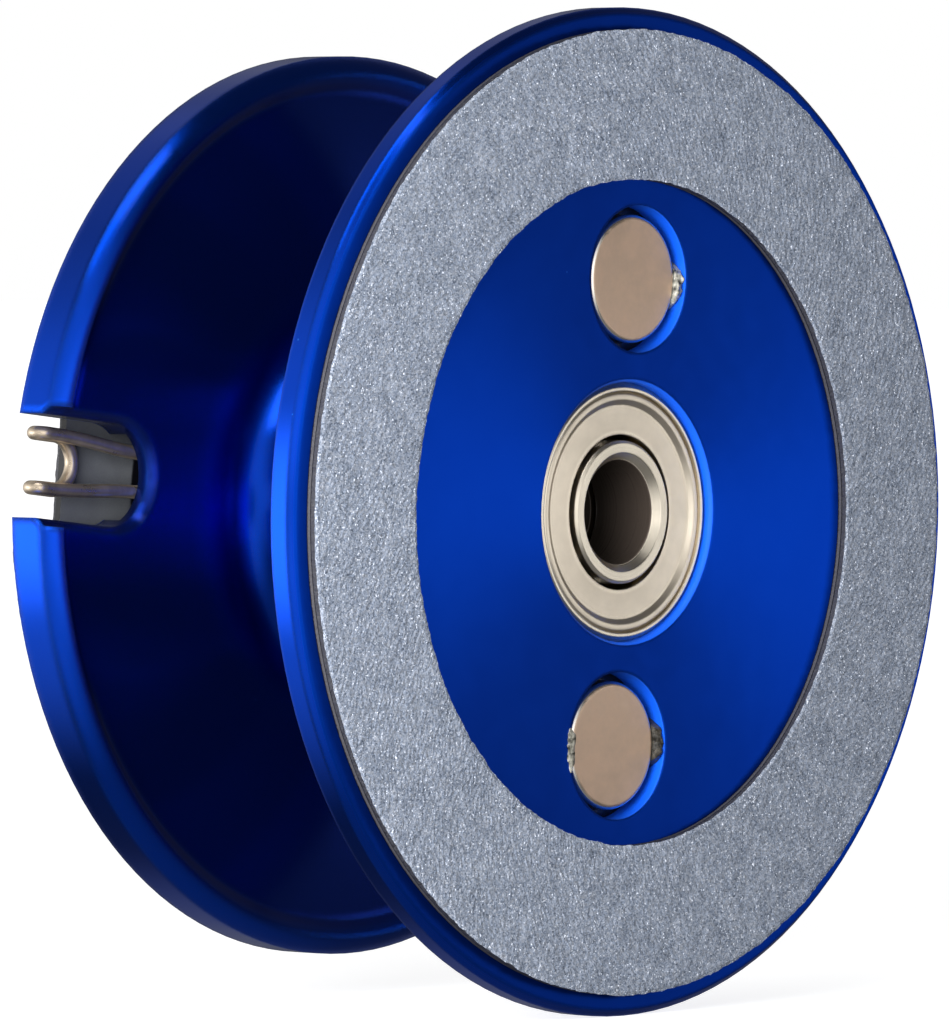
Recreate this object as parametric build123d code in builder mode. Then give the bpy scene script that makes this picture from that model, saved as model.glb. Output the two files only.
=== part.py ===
"""Twin-flange spool (hand-held "yo-yo" reel) that spins on two shielded ball bearings.

Frame: millimetres. The axle runs along Y. The wide flange, with the grip ring, the magnets and the
open face of the near bearing, looks along -Y. +Z is up. The origin is on the axle, half way between
the two flanges' outer faces.
"""

from build123d import *

import os
from math import asin, cos, radians, sin

# ---------------------------------------------------------------- driving dimensions (mm)
FACE_Y = 12.0               # both flanges' outer faces stand this far from the origin

# bearings: 6 x 15 x 5 mm, shielded both sides
BEARING_BORE_R = 3.0
BEARING_OUTER_R = 7.5
BEARING_WIDTH = 5.0
BEARING_SINK = 0.4          # bearing face below the metal around it
BALL_R = 1.3
BALL_COUNT = 8
PITCH_R = 5.25              # circle through the ball centres
RACE_SHOULDER_GAP = 1.1     # race shoulder to pitch circle
GROOVE_PLAY = 0.02          # ball to groove bottom, radial
SEAT_PLAY = 0.01            # bearing to its seat, radial
INNER_SHOULDER_R = PITCH_R - RACE_SHOULDER_GAP
OUTER_SHOULDER_R = PITCH_R + RACE_SHOULDER_GAP
GROOVE_R = BALL_R + GROOVE_PLAY
RACE_CHAMFER = 0.3
BORE_CHAMFER = 0.45
SHIELD_SEAT_R = 7.0         # counterbore in the outer race that holds a shield
SHIELD_SEAT_DEPTH = 0.5
SHIELD_SINK = 0.08          # top of the shield's bead below the race's face
SHIELD_RIM_DROP = 0.12      # rim below the bead, so that a groove runs round it
SHIELD_BEAD_OUTER_R = 6.8
SHIELD_BEAD_INNER_R = 6.5
SHIELD_STEP_R = 6.2         # flat disc inside the bead
SHIELD_STEP = 0.18
SHIELD_BORE_R = 4.48
SHIELD_METAL = 0.22
SHIELD_PLAY = 0.01
CAGE_INNER_R = 4.8
CAGE_OUTER_R = 5.7
CAGE_HALF_WIDTH = 1.65
CAGE_POCKET_R = 1.36

# drum and hub
DRUM_R = 9.0
DRUM_FILLET = 2.6
SPLIT_Y = -1.0              # where the near flange's hub meets the drum
THREAD_R = 7.0              # M14 fine thread, drawn as a plain cylinder
THREAD_PLAY = 0.02
THREAD_LENGTH = 4.6
HUB_BORE_R = 5.0            # room around the bearing spacer
SHOULDER_BORE_R = 6.5       # bearing shoulder, clear of the shields
SHOULDER_THICK = 0.8

# near flange
NEAR_R = 29.1
NEAR_RIM_THICK = 1.7
NEAR_WEB_THICK = 3.4        # around the hub, behind the magnets
NEAR_WEB_R = 18.6           # the back face tapers from here to the rim
RIM_CHAMFER = 0.4
BACK_CHAMFER = 0.15

# magnets in the near flange
MAGNET_R = 3.72
MAGNET_THICK = 1.5
MAGNET_SINK = 0.4
MAGNET_EDGE_R = 0.3         # rounded, plated edge
MAGNET_CENTRE_R = 13.48
MAGNET_POCKET_R = 4.26
MAGNET_CLOCK = 4.0          # degrees, from +Z towards +X
GLUE_SINK = 0.25            # adhesive level below the magnet's face

# near grip ring: foam adhesive below, abrasive film on top
NEAR_RING_OUTER_R = 27.83
NEAR_RING_INNER_R = 19.2
NEAR_BACKING_THICK = 0.32
NEAR_PAD_THICK = 0.33

# far flange
FAR_R = 26.45
FAR_RIM_THICK = 3.18
FAR_WEB_THICK = 1.13        # thin web behind the slot's inner end
FAR_DISH = 0.78             # web sunk below the rim's crest, drum side
FAR_DISH_R = 24.4
FAR_CREST_R = 25.4          # the rim stands highest here
FAR_FACET_R = 26.0          # where the rim's edge changes from its flat facet to its steep one
FAR_FACET_DROP = 0.38       # below the crest
FAR_EDGE_DROP = 0.82
FAR_RECESS_R = 18.6         # round recess in the outer face
FAR_FRONT_Y = FACE_Y - FAR_RIM_THICK
FAR_WEB_Y = FAR_FRONT_Y + FAR_DISH
FAR_FLOOR_Y = FAR_WEB_Y + FAR_WEB_THICK

# slot for the line, cut inwards from the far flange's rim
SLOT_CLOCK = 6.2            # degrees, from -X towards +Z
SLOT_WIDTH = 6.0
SLOT_INNER_R = 17.1
SLOT_CHAMFER = 0.45

# far grip ring: foam adhesive, steel backing plate, abrasive film
FAR_RING_OUTER_R = 25.2
FAR_FOAM_INNER_R = 18.8
FAR_FOAM_THICK = 0.5
FAR_PLATE_INNER_R = 14.9
FAR_PLATE_THICK = 0.4
FAR_PAD_MARGIN = 0.2
FAR_PAD_THICK = 0.4
NOTCH_WIDTH = 8.4
NOTCH_INNER_R = 21.6
NOTCH_CORNER_R = 1.5

# line keeper: a hairpin of spring wire under a clamp
WIRE_R = 0.4
WIRE_OFFSET = 0.4           # the hairpin sits this far above the slot's centre line
WIRE_FLOOR_PLAY = 0.02
WIRE_ROOT_HALF = 1.1        # half spacing of the legs at the clamp
WIRE_TIP_HALF = 1.575       # half spacing at the tips
WIRE_END_U = 8.3
WIRE_SPREAD_U = 15.5        # the legs spread from here outwards
WIRE_TIP_U = 24.6
WIRE_HOOK_R = 0.45          # bend that turns each leg back on itself
CLAMP_INNER_U = 8.0
CLAMP_OUTER_U = 11.0
CLAMP_HALF_WIDTH = 4.2
CLAMP_THICK = 1.2
CLAMP_GROOVE_R = 0.42
CLAMP_CORNER_R = 0.6
SCREW_U = 9.2
SCREW_SPACING = 5.4
SCREW_THREAD_R = 0.8
SCREW_HOLE_R = 0.82
SCREW_REACH = 1.1           # thread below the recess floor
SCREW_TIP_GAP = 0.1
SCREW_HEAD_R = 1.5
SCREW_HEAD_THICK = 0.8
SCREW_SOCKET = 0.9          # across flats
SCREW_SOCKET_DEPTH = 0.45

# ---------------------------------------------------------------- places along the axle
NEAR_BEARING_Y = -FACE_Y + BEARING_SINK + BEARING_WIDTH / 2
FAR_BEARING_Y = FAR_FLOOR_Y - BEARING_SINK - BEARING_WIDTH / 2
NEAR_SEAT_END_Y = NEAR_BEARING_Y + BEARING_WIDTH / 2
FAR_SEAT_END_Y = FAR_BEARING_Y - BEARING_WIDTH / 2
SEAT_R = BEARING_OUTER_R + SEAT_PLAY
SEAT_CHAMFER = 0.2


def axle_plane(y):
    """Plane across the axle at y, its normal along +Y."""
    return Plane(origin=(0, y, 0), x_dir=(1, 0, 0), z_dir=(0, 1, 0))


def magnet_plane(y):
    """Plane across the axle whose local x runs through both magnets."""
    turn = radians(MAGNET_CLOCK)
    return Plane(origin=(0, y, 0), x_dir=(sin(turn), 0, cos(turn)), z_dir=(0, 1, 0))


def slot_plane(y):
    """Plane across the axle whose local x runs outwards along the slot, local y across it."""
    turn = radians(SLOT_CLOCK)
    return Plane(origin=(0, y, 0), x_dir=(-cos(turn), 0, sin(turn)), z_dir=(0, 1, 0))


def write(piece, name):
    """Labels a finished piece and writes it as parts/<name>.step."""
    piece.part.label = name
    export_step(piece.part, f"parts/{name}.step")


def turned(points):
    """Revolves a closed outline of (radius, y) points about the axle."""
    with BuildPart() as piece:
        with BuildSketch(Plane.XY):
            with BuildLine():
                Polyline(*points, close=True)
            make_face()
        revolve(axis=Axis.Y)
    return piece


# ---------------------------------------------------------------- near flange
def make_near_flange():
    """Wide flange with the bearing seat, the threaded socket and the two magnet pockets."""
    web_back_y = -FACE_Y + NEAR_WEB_THICK
    rim_back_y = -FACE_Y + NEAR_RIM_THICK
    shoulder_y = NEAR_SEAT_END_Y + SHOULDER_THICK
    with BuildPart() as flange:
        with BuildSketch(Plane.XY):
            with BuildLine():
                Polyline(
                    (DRUM_R, web_back_y + DRUM_FILLET),
                    (DRUM_R, SPLIT_Y),
                    (THREAD_R, SPLIT_Y),
                    (THREAD_R, shoulder_y),
                    (SHOULDER_BORE_R, shoulder_y),
                    (SHOULDER_BORE_R, NEAR_SEAT_END_Y),
                    (SEAT_R, NEAR_SEAT_END_Y),
                    (SEAT_R, -FACE_Y + SEAT_CHAMFER),
                    (SEAT_R + SEAT_CHAMFER, -FACE_Y),
                    (NEAR_R - RIM_CHAMFER, -FACE_Y),
                    (NEAR_R, -FACE_Y + RIM_CHAMFER),
                    (NEAR_R, rim_back_y - BACK_CHAMFER),
                    (NEAR_R - BACK_CHAMFER, rim_back_y),
                    (NEAR_RING_OUTER_R, rim_back_y),
                    (NEAR_WEB_R, web_back_y),
                    (DRUM_R + DRUM_FILLET, web_back_y),
                )
                RadiusArc(
                    (DRUM_R + DRUM_FILLET, web_back_y),
                    (DRUM_R, web_back_y + DRUM_FILLET),
                    DRUM_FILLET,
                )
            make_face()
        revolve(axis=Axis.Y)
        with BuildSketch(magnet_plane(-FACE_Y)):
            with Locations((MAGNET_CENTRE_R, 0), (-MAGNET_CENTRE_R, 0)):
                Circle(MAGNET_POCKET_R)
        extrude(amount=MAGNET_SINK + MAGNET_THICK, mode=Mode.SUBTRACT)
    return flange


# ---------------------------------------------------------------- drum and far flange
def slot_outline(width):
    """Slot that is open past the rim, with a half-round inner end; needs a sketch around it."""
    inner_centre = SLOT_INNER_R + SLOT_WIDTH / 2
    open_end = FAR_R + SLOT_WIDTH
    with Locations((inner_centre, 0)):
        Circle(width / 2)
    with Locations(((inner_centre + open_end) / 2, 0)):
        Rectangle(open_end - inner_centre, width)


def make_spool_core():
    """Drum and far flange turned from one blank, with the threaded spigot and the slot."""
    seat_lip_y = FAR_SEAT_END_Y - SHOULDER_THICK
    spigot_r = THREAD_R - THREAD_PLAY
    spigot_end_y = SPLIT_Y - THREAD_LENGTH
    with BuildPart() as core:
        with BuildSketch(Plane.XY):
            with BuildLine():
                Polyline(
                    (DRUM_R + DRUM_FILLET, FAR_WEB_Y),
                    (FAR_DISH_R, FAR_WEB_Y),
                    (FAR_CREST_R, FAR_FRONT_Y),
                    (FAR_FACET_R, FAR_FRONT_Y + FAR_FACET_DROP),
                    (FAR_R, FAR_FRONT_Y + FAR_EDGE_DROP),
                    (FAR_R, FACE_Y - BACK_CHAMFER),
                    (FAR_R - BACK_CHAMFER, FACE_Y),
                    (FAR_RECESS_R, FACE_Y),
                    (FAR_RECESS_R, FAR_FLOOR_Y),
                    (SEAT_R + SEAT_CHAMFER, FAR_FLOOR_Y),
                    (SEAT_R, FAR_FLOOR_Y - SEAT_CHAMFER),
                    (SEAT_R, FAR_SEAT_END_Y),
                    (SHOULDER_BORE_R, FAR_SEAT_END_Y),
                    (SHOULDER_BORE_R, seat_lip_y),
                    (HUB_BORE_R, seat_lip_y),
                    (HUB_BORE_R, spigot_end_y),
                    (spigot_r - SEAT_CHAMFER, spigot_end_y),
                    (spigot_r, spigot_end_y + SEAT_CHAMFER),
                    (spigot_r, SPLIT_Y),
                    (DRUM_R, SPLIT_Y),
                    (DRUM_R, FAR_WEB_Y - DRUM_FILLET),
                )
                RadiusArc(
                    (DRUM_R, FAR_WEB_Y - DRUM_FILLET),
                    (DRUM_R + DRUM_FILLET, FAR_WEB_Y),
                    DRUM_FILLET,
                )
            make_face()
        revolve(axis=Axis.Y)
        with BuildSketch(slot_plane(FAR_FRONT_Y)):
            slot_outline(SLOT_WIDTH)
        extrude(amount=FAR_RIM_THICK, mode=Mode.SUBTRACT)
        with BuildSketch(slot_plane(FAR_FRONT_Y)):
            slot_outline(SLOT_WIDTH + 2 * SLOT_CHAMFER)
        extrude(amount=FAR_DISH, mode=Mode.SUBTRACT)
        with BuildSketch(slot_plane(FAR_WEB_Y)):
            slot_outline(SLOT_WIDTH + 2 * SLOT_CHAMFER)
        extrude(amount=SLOT_CHAMFER, taper=45, mode=Mode.SUBTRACT)
        with BuildSketch(slot_plane(FAR_FLOOR_Y)):
            with Locations((SCREW_U, WIRE_OFFSET)):
                with GridLocations(0, SCREW_SPACING, 1, 2):
                    Circle(SCREW_HOLE_R)
        extrude(amount=-SCREW_REACH, mode=Mode.SUBTRACT)
    return core


# ---------------------------------------------------------------- grip rings
def make_ring(y, outer_r, inner_r, thick):
    """Flat ring across the axle, from y towards +Y."""
    with BuildPart() as ring:
        with BuildSketch(axle_plane(y)):
            Circle(outer_r)
            Circle(inner_r, mode=Mode.SUBTRACT)
        extrude(amount=thick)
    return ring


def make_notched_ring(y, outer_r, inner_r, thick, notch_inner_r, notch_width):
    """Flat ring with a round-cornered notch cut in from its rim at the slot."""
    notch_length = 2 * (outer_r - notch_inner_r)
    with BuildPart() as ring:
        with BuildSketch(slot_plane(y)):
            Circle(outer_r)
            Circle(inner_r, mode=Mode.SUBTRACT)
            with Locations((notch_inner_r + notch_length / 2, 0)):
                RectangleRounded(notch_length, notch_width, NOTCH_CORNER_R, mode=Mode.SUBTRACT)
        extrude(amount=thick)
    return ring


def make_far_foam():
    """Foam adhesive under the far backing plate, cut right through at the slot."""
    with BuildPart() as foam:
        with BuildSketch(slot_plane(FACE_Y)):
            Circle(FAR_RING_OUTER_R)
            Circle(FAR_FOAM_INNER_R, mode=Mode.SUBTRACT)
            with Locations((FAR_RING_OUTER_R, 0)):
                Rectangle(FAR_RING_OUTER_R, NOTCH_WIDTH, mode=Mode.SUBTRACT)
        extrude(amount=FAR_FOAM_THICK)
    return foam


def make_grip_rings():
    """Both grip rings, layer by layer, from the metal outwards."""
    near_backing_y = -FACE_Y - NEAR_BACKING_THICK
    write(
        make_ring(near_backing_y, NEAR_RING_OUTER_R, NEAR_RING_INNER_R, NEAR_BACKING_THICK),
        "near_grip_backing",
    )
    write(
        make_ring(near_backing_y - NEAR_PAD_THICK, NEAR_RING_OUTER_R, NEAR_RING_INNER_R, NEAR_PAD_THICK),
        "near_grip_ring",
    )
    write(make_far_foam(), "far_grip_foam")
    plate_y = FACE_Y + FAR_FOAM_THICK
    write(
        make_notched_ring(
            plate_y,
            FAR_RING_OUTER_R,
            FAR_PLATE_INNER_R,
            FAR_PLATE_THICK,
            NOTCH_INNER_R,
            NOTCH_WIDTH,
        ),
        "far_backing_plate",
    )
    write(
        make_notched_ring(
            plate_y + FAR_PLATE_THICK,
            FAR_RING_OUTER_R - FAR_PAD_MARGIN,
            FAR_PLATE_INNER_R + FAR_PAD_MARGIN,
            FAR_PAD_THICK,
            NOTCH_INNER_R - FAR_PAD_MARGIN,
            NOTCH_WIDTH + 2 * FAR_PAD_MARGIN,
        ),
        "far_grip_ring",
    )


# ---------------------------------------------------------------- magnets
def make_magnet(side):
    """Disc magnet in its pocket; side is +1 for the upper one and -1 for the lower one."""
    with BuildPart() as magnet:
        with BuildSketch(magnet_plane(-FACE_Y + MAGNET_SINK)):
            with Locations((side * MAGNET_CENTRE_R, 0)):
                Circle(MAGNET_R)
        extrude(amount=MAGNET_THICK)
        face_edge = magnet.edges().filter_by(GeomType.CIRCLE).group_by(Axis.Y)[0]
        fillet(face_edge, radius=MAGNET_EDGE_R)
    return magnet


def make_magnet_adhesive():
    """Adhesive that fills the ring of space around each magnet."""
    glue_y = -FACE_Y + MAGNET_SINK + GLUE_SINK
    with BuildPart() as glue:
        with BuildSketch(magnet_plane(glue_y)):
            with Locations((MAGNET_CENTRE_R, 0), (-MAGNET_CENTRE_R, 0)):
                Circle(MAGNET_POCKET_R)
                Circle(MAGNET_R, mode=Mode.SUBTRACT)
        extrude(amount=MAGNET_THICK - GLUE_SINK)
    return glue


# ---------------------------------------------------------------- bearings
def make_outer_race(y):
    """Outer race: ball groove inside, a shield seat at each end."""
    half = BEARING_WIDTH / 2
    seat_y = half - SHIELD_SEAT_DEPTH
    with BuildPart() as race:
        with BuildSketch(Plane.XY):
            with BuildLine():
                Polyline(
                    (OUTER_SHOULDER_R, y - seat_y),
                    (SHIELD_SEAT_R, y - seat_y),
                    (SHIELD_SEAT_R, y - half),
                    (BEARING_OUTER_R - RACE_CHAMFER, y - half),
                    (BEARING_OUTER_R, y - half + RACE_CHAMFER),
                    (BEARING_OUTER_R, y + half - RACE_CHAMFER),
                    (BEARING_OUTER_R - RACE_CHAMFER, y + half),
                    (SHIELD_SEAT_R, y + half),
                    (SHIELD_SEAT_R, y + seat_y),
                    (OUTER_SHOULDER_R, y + seat_y),
                    close=True,
                )
            make_face()
            with Locations((PITCH_R, y)):
                Circle(GROOVE_R, mode=Mode.SUBTRACT)
        revolve(axis=Axis.Y)
    return race


def make_inner_race(y):
    """Inner race: ball groove outside, chamfered bore inside."""
    half = BEARING_WIDTH / 2
    with BuildPart() as race:
        with BuildSketch(Plane.XY):
            with BuildLine():
                Polyline(
                    (BEARING_BORE_R, y - half + BORE_CHAMFER),
                    (BEARING_BORE_R + BORE_CHAMFER, y - half),
                    (INNER_SHOULDER_R - BACK_CHAMFER, y - half),
                    (INNER_SHOULDER_R, y - half + BACK_CHAMFER),
                    (INNER_SHOULDER_R, y + half - BACK_CHAMFER),
                    (INNER_SHOULDER_R - BACK_CHAMFER, y + half),
                    (BEARING_BORE_R + BORE_CHAMFER, y + half),
                    (BEARING_BORE_R, y + half - BORE_CHAMFER),
                    close=True,
                )
            make_face()
            with Locations((PITCH_R, y)):
                Circle(GROOVE_R, mode=Mode.SUBTRACT)
        revolve(axis=Axis.Y)
    return race


def make_balls(y):
    """Ball set on the pitch circle."""
    with BuildPart(axle_plane(y)) as balls:
        with PolarLocations(PITCH_R, BALL_COUNT):
            Sphere(BALL_R)
    return balls


def make_cage(y):
    """Ring cage with one pocket for each ball, drilled along the radius."""
    with BuildPart(axle_plane(y)) as cage:
        with BuildSketch(axle_plane(y - CAGE_HALF_WIDTH)):
            Circle(CAGE_OUTER_R)
            Circle(CAGE_INNER_R, mode=Mode.SUBTRACT)
        extrude(amount=2 * CAGE_HALF_WIDTH)
        with PolarLocations(PITCH_R, BALL_COUNT):
            Cylinder(CAGE_POCKET_R, PITCH_R, rotation=(0, 90, 0), mode=Mode.SUBTRACT)
    return cage


def make_shield(y, outward):
    """Pressed shield with a bead near its rim; outward is -1 or +1 along the axle."""
    top = BEARING_WIDTH / 2 - SHIELD_SINK
    rim_r = SHIELD_SEAT_R - SHIELD_PLAY
    upper_side = [
        (rim_r, top - SHIELD_RIM_DROP),
        (SHIELD_BEAD_OUTER_R, top),
        (SHIELD_BEAD_INNER_R, top),
        (SHIELD_STEP_R, top - SHIELD_STEP),
        (SHIELD_BORE_R, top - SHIELD_STEP),
    ]
    lower_side = [(r, height - SHIELD_METAL) for r, height in reversed(upper_side)]
    return turned([(r, y + outward * height) for r, height in upper_side + lower_side])


def make_bearing(side, y):
    """Writes the pieces of one bearing; its front faces -Y and its back +Y."""
    write(make_outer_race(y), f"{side}_outer_race")
    write(make_inner_race(y), f"{side}_inner_race")
    write(make_balls(y), f"{side}_balls")
    write(make_cage(y), f"{side}_cage")
    write(make_shield(y, -1), f"{side}_front_shield")
    write(make_shield(y, 1), f"{side}_back_shield")


def make_spacer():
    """Tube that keeps the two inner races apart."""
    length = FAR_SEAT_END_Y - NEAR_SEAT_END_Y
    return make_ring(NEAR_SEAT_END_Y, INNER_SHOULDER_R - BACK_CHAMFER, BEARING_BORE_R, length)


# ---------------------------------------------------------------- line keeper
WIRE_FRONT_Y = FAR_FLOOR_Y + WIRE_FLOOR_PLAY + WIRE_R


def spread_leg(start_u, start_v, end_u, end_v):
    """Shallow S of two equal arcs, along the slot at both ends; needs a line builder around it."""
    run = (end_u - start_u) / 2
    rise = (end_v - start_v) / 2
    radius = (run**2 + rise**2) / (2 * rise)
    half_turn = asin(run / radius) / 2
    run_part = radius * sin(half_turn)
    rise_part = radius * (1 - cos(half_turn))
    middle = (start_u + run, start_v + rise, 0)
    ThreePointArc((start_u, start_v, 0), (start_u + run_part, start_v + rise_part, 0), middle)
    ThreePointArc(middle, (end_u - run_part, end_v - rise_part, 0), (end_u, end_v, 0))


def make_keeper_wire():
    """Hairpin: two front legs, a hook at each tip, and a round bend that joins the short back legs."""
    back = 2 * WIRE_HOOK_R
    hook_u = WIRE_TIP_U + WIRE_HOOK_R
    bend_u = WIRE_TIP_U - WIRE_TIP_HALF
    upper_root = WIRE_OFFSET + WIRE_ROOT_HALF
    lower_root = WIRE_OFFSET - WIRE_ROOT_HALF
    upper_tip = WIRE_OFFSET + WIRE_TIP_HALF
    lower_tip = WIRE_OFFSET - WIRE_TIP_HALF
    with BuildPart() as wire:
        with BuildLine(slot_plane(WIRE_FRONT_Y)) as path:
            Line((WIRE_END_U, upper_root, 0), (WIRE_SPREAD_U, upper_root, 0))
            spread_leg(WIRE_SPREAD_U, upper_root, WIRE_TIP_U, upper_tip)
            ThreePointArc(
                (WIRE_TIP_U, upper_tip, 0),
                (hook_u, upper_tip, WIRE_HOOK_R),
                (WIRE_TIP_U, upper_tip, back),
            )
            Line((WIRE_TIP_U, upper_tip, back), (bend_u, upper_tip, back))
            ThreePointArc(
                (bend_u, upper_tip, back),
                (bend_u - WIRE_TIP_HALF, WIRE_OFFSET, back),
                (bend_u, lower_tip, back),
            )
            Line((bend_u, lower_tip, back), (WIRE_TIP_U, lower_tip, back))
            ThreePointArc(
                (WIRE_TIP_U, lower_tip, back),
                (hook_u, lower_tip, WIRE_HOOK_R),
                (WIRE_TIP_U, lower_tip, 0),
            )
            spread_leg(WIRE_TIP_U, lower_tip, WIRE_SPREAD_U, lower_root)
            Line((WIRE_SPREAD_U, lower_root, 0), (WIRE_END_U, lower_root, 0))
        with BuildSketch(Plane(path.wires()[0] ^ 0)):
            Circle(WIRE_R)
        sweep()
    return wire


def make_keeper_clamp():
    """Small bar that holds the wire's legs to the floor of the recess."""
    length = CLAMP_OUTER_U - CLAMP_INNER_U
    middle_u = (CLAMP_INNER_U + CLAMP_OUTER_U) / 2
    with BuildPart() as clamp:
        with BuildSketch(slot_plane(FAR_FLOOR_Y)):
            with Locations((middle_u, WIRE_OFFSET)):
                RectangleRounded(length, 2 * CLAMP_HALF_WIDTH, CLAMP_CORNER_R)
        extrude(amount=CLAMP_THICK)
        groove_start = slot_plane(WIRE_FRONT_Y).from_local_coords((CLAMP_INNER_U, WIRE_OFFSET, 0))
        with BuildSketch(Plane(groove_start, x_dir=(0, 1, 0), z_dir=slot_plane(0).x_dir)):
            with GridLocations(0, 2 * WIRE_ROOT_HALF, 1, 2):
                Circle(CLAMP_GROOVE_R)
                with Locations((-CLAMP_GROOVE_R, 0)):
                    Rectangle(2 * CLAMP_GROOVE_R, 2 * CLAMP_GROOVE_R)
        extrude(amount=length, mode=Mode.SUBTRACT)
        with BuildSketch(slot_plane(FAR_FLOOR_Y)):
            with Locations((SCREW_U, WIRE_OFFSET)):
                with GridLocations(0, SCREW_SPACING, 1, 2):
                    Circle(SCREW_HOLE_R)
        extrude(amount=CLAMP_THICK, mode=Mode.SUBTRACT)
    return clamp


def make_keeper_screws():
    """The clamp's two screws, with hexagon sockets."""
    top_y = FAR_FLOOR_Y + CLAMP_THICK
    shank = CLAMP_THICK + SCREW_REACH - SCREW_TIP_GAP
    with BuildPart() as screws:
        with BuildSketch(slot_plane(top_y)):
            with Locations((SCREW_U, WIRE_OFFSET)):
                with GridLocations(0, SCREW_SPACING, 1, 2):
                    Circle(SCREW_THREAD_R)
        extrude(amount=-shank)
        with BuildSketch(slot_plane(top_y)):
            with Locations((SCREW_U, WIRE_OFFSET)):
                with GridLocations(0, SCREW_SPACING, 1, 2):
                    Circle(SCREW_HEAD_R)
        extrude(amount=SCREW_HEAD_THICK)
        with BuildSketch(slot_plane(top_y + SCREW_HEAD_THICK)):
            with Locations((SCREW_U, WIRE_OFFSET)):
                with GridLocations(0, SCREW_SPACING, 1, 2):
                    RegularPolygon(SCREW_SOCKET / 2, 6, major_radius=False)
        extrude(amount=-SCREW_SOCKET_DEPTH, mode=Mode.SUBTRACT)
    return screws


# ---------------------------------------------------------------- write every piece
os.makedirs("parts", exist_ok=True)

write(make_near_flange(), "near_flange")
write(make_spool_core(), "spool_core")
make_grip_rings()
write(make_magnet(1), "upper_magnet")
write(make_magnet(-1), "lower_magnet")
write(make_magnet_adhesive(), "magnet_adhesive")
make_bearing("near", NEAR_BEARING_Y)
make_bearing("far", FAR_BEARING_Y)
write(make_spacer(), "bearing_spacer")
write(make_keeper_wire(), "keeper_wire")
write(make_keeper_clamp(), "keeper_clamp")
write(make_keeper_screws(), "keeper_screws")
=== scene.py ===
"""Looks for the twin-flange spool: materials, soft studio and camera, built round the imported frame.

Units are metres, in the frame's own axes: the axle runs along Y, the wide flange faces -Y and
+Z is up.
"""

import math
from collections import namedtuple

import bmesh
import bpy
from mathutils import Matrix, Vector, noise


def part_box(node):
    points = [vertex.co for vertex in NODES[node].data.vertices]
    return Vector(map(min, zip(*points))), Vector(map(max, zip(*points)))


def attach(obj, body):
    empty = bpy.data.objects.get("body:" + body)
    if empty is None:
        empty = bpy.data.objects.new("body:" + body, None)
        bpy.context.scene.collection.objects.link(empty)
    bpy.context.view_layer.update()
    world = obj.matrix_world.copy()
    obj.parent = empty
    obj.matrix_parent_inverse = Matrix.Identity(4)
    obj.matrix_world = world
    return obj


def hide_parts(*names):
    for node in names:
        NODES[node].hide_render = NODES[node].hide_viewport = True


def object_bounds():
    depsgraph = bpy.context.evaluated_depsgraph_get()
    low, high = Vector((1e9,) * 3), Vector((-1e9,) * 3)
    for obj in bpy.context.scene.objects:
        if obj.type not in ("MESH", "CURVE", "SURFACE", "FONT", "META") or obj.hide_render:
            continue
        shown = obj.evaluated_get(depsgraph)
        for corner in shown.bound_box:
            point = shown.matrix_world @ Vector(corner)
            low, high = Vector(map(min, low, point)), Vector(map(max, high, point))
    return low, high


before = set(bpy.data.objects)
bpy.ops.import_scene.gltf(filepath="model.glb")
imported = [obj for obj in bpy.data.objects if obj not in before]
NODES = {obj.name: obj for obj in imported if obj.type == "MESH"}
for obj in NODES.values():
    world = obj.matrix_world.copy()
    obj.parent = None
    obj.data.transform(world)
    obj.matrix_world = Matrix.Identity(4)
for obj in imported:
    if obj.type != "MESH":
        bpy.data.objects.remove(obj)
CAD_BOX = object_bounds()

MM = 0.001
SPOOL = "spool"                     # the body that turns
MAGNETS = ("upper_magnet", "lower_magnet")
RACES = ("near_outer_race", "near_inner_race", "far_outer_race", "far_inner_race")
SHIELDS = ("near_front_shield", "near_back_shield", "far_front_shield", "far_back_shield")

# places on the spool
OUTER_FACE_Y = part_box("spool_core")[1].y    # both flanges' outer faces, measured from the middle
BORE_R = 3.0 * MM                   # through bore of the bearings and their spacer
POCKET_REACH = 4.4 * MM             # just outside a magnet pocket's wall
BEARING_SEAT_REACH = 7.9 * MM       # just outside the bearing seat's chamfer
BORED_DEPTH = 2.5 * MM              # deeper than the magnet pockets, short of the flange's back
DRUM_BLEND = (11 * MM, 14 * MM)     # the drum's fillet runs out into the webs here
WEB_EDGE = (25.3 * MM, 24.7 * MM)   # the webs end here, at the rims
# painted shade on the backing plate: black inside this radius
PLATE_PAINTED_SHADE_R = (15.75 * MM, 15.95 * MM)
RIM_ROUNDING = 0.3 * MM
SLOTTED_ROUNDING = 0.7 * MM         # the slotted flange's edges are polished rounder

# near grip ring
NEAR_FILM_OUTER_R = 27.83 * MM
NEAR_FILM_INNER_R = 19.2 * MM

# relief of both grip rings
FILM_STEP = 0.2 * MM                # between the mesh's points
GRAIN_SIZE, GRAIN_HEIGHT = 0.13 * MM, 0.018 * MM
SWELL_SIZE, SWELL_HEIGHT = 0.5 * MM, 0.012 * MM
NIBBLE_SIZE, NIBBLE_DEPTH = 0.4 * MM, 0.07 * MM      # raggedness of the cut edge
WANDER_SIZE, WANDER_DEPTH = 2.5 * MM, 0.05 * MM
FILM_EDGE_DROP = 0.05 * MM          # the cut presses the film's edge down

# far grip ring and its notch
FAR_FILM_INNER_R = 15.1 * MM
SLOT_CLOCK = math.radians(6.2)      # from -X towards +Z
NOTCH_INNER_R = 21.4 * MM
NOTCH_WIDTH = 8.8 * MM
NOTCH_CORNER_R = 1.5 * MM

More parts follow.
